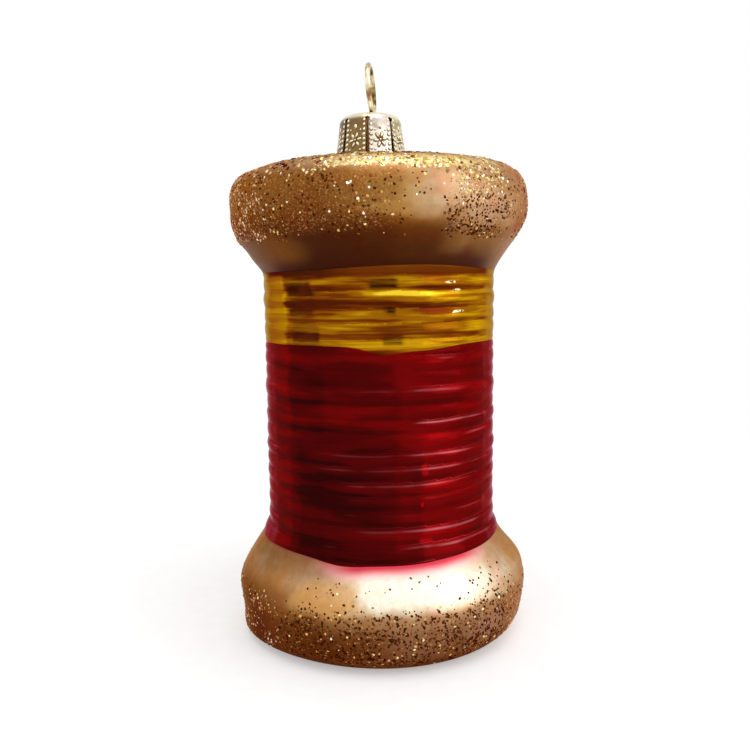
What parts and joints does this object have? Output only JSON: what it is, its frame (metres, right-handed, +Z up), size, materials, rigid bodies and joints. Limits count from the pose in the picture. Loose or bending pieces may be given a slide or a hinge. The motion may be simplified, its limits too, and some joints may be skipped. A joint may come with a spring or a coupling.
{
  "type": "hanging glass ornament",
  "caption": "Blown-glass tree ornament in the shape of a spool wound with gold and red thread, with a slotted metal cap and a wire loop to hang it by.",
  "frame": {"origin": "centre of the round base, on the surface that the ornament stands on", "axes": "+Z up the spool's axis to the cap and loop, +X to the right and +Y away as the picture sees it"},
  "size_m": [0.0508, 0.0508, 0.0964],
  "materials": {
    "glass_body": "opaque: silvered inside, satin champagne lacquer with loose gold and copper glitter outside",
    "red_thread_band": "glossy transparent deep red lacquer over silvered glass",
    "gold_thread_band": "glossy transparent gold lacquer over silvered glass",
    "cap": "thin stamped sheet with a pale gold finish",
    "hanger": "bright spring wire with a pale gold finish"
  },
  "bodies": {
    "glass": {"glass_body": "glass_body", "red_thread_band": "red_thread_band", "gold_thread_band": "gold_thread_band"},
    "cap": {"cap": "cap"},
    "hanger": {"hanger": "hanger"}
  },
  "joints": [
    {"name": "cap_pull", "type": "slide", "parent": "glass", "child": "cap", "axis": [0, 0, 1], "range_m": [0, 0.02]},
    {"name": "hanger_turn", "type": "hinge", "parent": "cap", "child": "hanger", "pos_m": [-0.00106, 0, 0.088], "axis": [0, 0, 1], "continuous": true}
  ]
}
